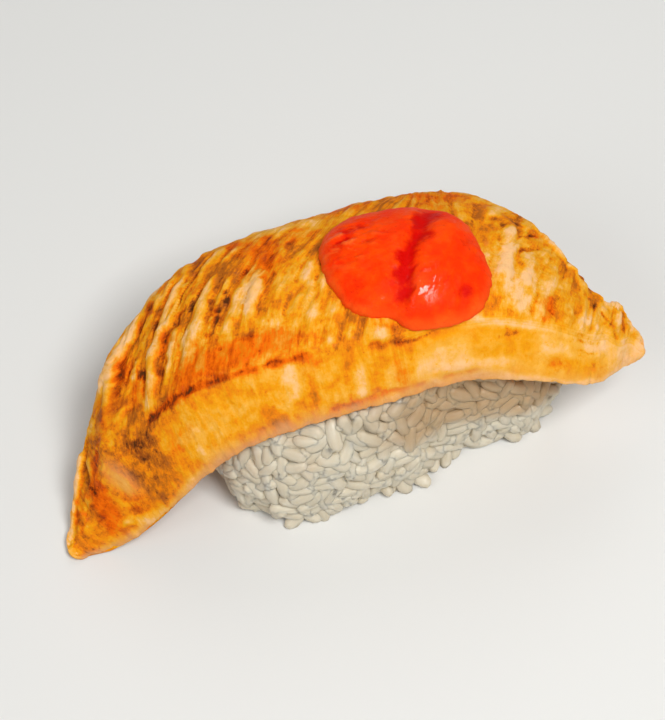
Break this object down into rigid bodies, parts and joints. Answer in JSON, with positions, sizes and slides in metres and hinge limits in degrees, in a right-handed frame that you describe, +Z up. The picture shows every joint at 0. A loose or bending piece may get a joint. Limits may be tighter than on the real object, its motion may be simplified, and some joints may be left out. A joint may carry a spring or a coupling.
{
  "type": "seared salmon nigiri",
  "caption": "Seared salmon nigiri: a thick salmon slice with a long hanging tail, draped over a hand-pressed block of rice and topped with a dollop of red chilli sauce.",
  "frame": {"origin": "middle of the footprint's bounding box, at the height of the surface it stands on", "axes": "+X along the slice, from the hanging tail to the short end; +Y from the front, where the rice shows, to the back; +Z up"},
  "size_m": [0.0824, 0.0344, 0.0333],
  "materials": {
    "rice": "moist boiled rice, white and slightly see-through at the grains' edges",
    "salmon": "moist seared flesh, golden orange with pale lines of fat and dark scorched specks",
    "sauce": "wet, glossy and slightly see-through at its thin rim"
  },
  "bodies": {
    "root": {"rice": "rice", "salmon_slice": "salmon", "sauce_dollop": "sauce"}
  },
  "joints": []
}
